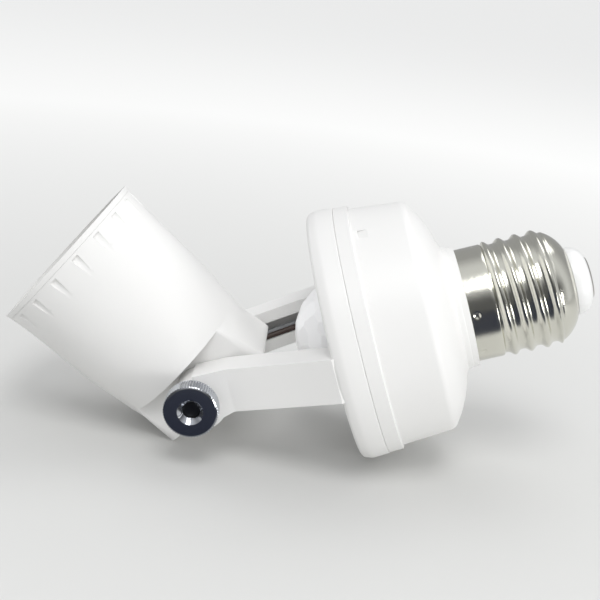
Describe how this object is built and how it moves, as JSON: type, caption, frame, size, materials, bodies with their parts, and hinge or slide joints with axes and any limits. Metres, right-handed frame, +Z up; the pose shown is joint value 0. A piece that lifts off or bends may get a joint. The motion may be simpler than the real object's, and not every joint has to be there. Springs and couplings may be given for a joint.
{
  "type": "motion sensor lamp holder",
  "caption": "Round motion sensor body with a screw cap at its back and arms at its front that carry a lamp cup, tilted and clamped by knurled nuts.",
  "frame": {"origin": "on the floor under the middle of the holder's bounding box, as it rests on the rim of the sensor body and the back edge of the lamp cup", "axes": "+X runs level from the lamp cup to the screw cap, +Y along the pivot of the lamp cup, away from the camera, +Z up. The body's axis rises by 21.30 degrees from +X."},
  "size_m": [0.1294, 0.0572, 0.0582],
  "materials": {
    "white_plastic": "warm white moulded plastic, half gloss",
    "lens_plastic": "milky translucent plastic with flat facets",
    "sensor_can": "plain nickel-plated can with a dark window",
    "cell_face": "dull red-brown face",
    "board_green": "green solder mask",
    "zinc_steel": "zinc-plated steel",
    "relay_case": "blue moulded case",
    "capacitor_case": "yellow-brown dipped case",
    "capacitor_sleeve": "black shrink sleeve",
    "chip_black": "black moulded body",
    "resistor_body": "pale blue lacquer",
    "nickel_plate": "polished nickel plate",
    "white_insulator": "white moulded insulator",
    "contact_metal": "dull plated contact",
    "grey_sleeve": "grey lead sleeve",
    "brown_sleeve": "dark red-brown lead sleeve",
    "polished_nut": "polished plated nut with a fine straight knurl",
    "socket_insulator": "white moulded base",
    "spring_brass": "spring brass"
  },
  "bodies": {
    "holder": {"front_cover": "white_plastic", "rear_shell": "white_plastic", "sensor_lens": "lens_plastic", "motion_sensor": "sensor_can", "light_sensor": "cell_face", "circuit_board": "board_green", "board_screws": "zinc_steel", "relay": "relay_case", "film_capacitor": "capacitor_case", "bulk_capacitor": "capacitor_sleeve", "control_chip": "chip_black", "diodes": "chip_black", "resistors": "resistor_body", "cap_shell": "nickel_plate", "cap_insulator": "white_insulator", "cap_contact": "contact_metal", "cap_live_lead": "grey_sleeve", "cap_shell_lead": "grey_sleeve", "arm_lead_grey": "grey_sleeve", "arm_lead_brown": "brown_sleeve", "washer_near": "zinc_steel", "washer_far": "zinc_steel"},
    "cup": {"lamp_cup": "white_plastic", "socket_base": "socket_insulator", "socket_shell": "nickel_plate", "socket_contact": "spring_brass", "contact_rivet": "spring_brass", "socket_screws": "zinc_steel", "cup_lead_grey": "grey_sleeve", "cup_lead_brown": "brown_sleeve", "pivot_screw_near": "zinc_steel", "pivot_screw_far": "zinc_steel"},
    "nut_near": {"thumb_nut_near": "polished_nut"},
    "nut_far": {"thumb_nut_far": "polished_nut"}
  },
  "joints": [
    {"name": "cup_tilt", "type": "hinge", "parent": "holder", "child": "cup", "pos_m": [-0.02016, 0, 0.01371], "axis": [0, 1, 0], "range_deg": [-103, 32]},
    {"name": "nut_near_turn", "type": "hinge", "parent": "cup", "child": "nut_near", "pos_m": [-0.02016, -0.02224, 0.01371], "axis": [0, -1, 0], "range_deg": [0, 720]},
    {"name": "nut_far_turn", "type": "hinge", "parent": "cup", "child": "nut_far", "pos_m": [-0.02016, 0.02224, 0.01371], "axis": [0, 1, 0], "range_deg": [0, 720]}
  ]
}
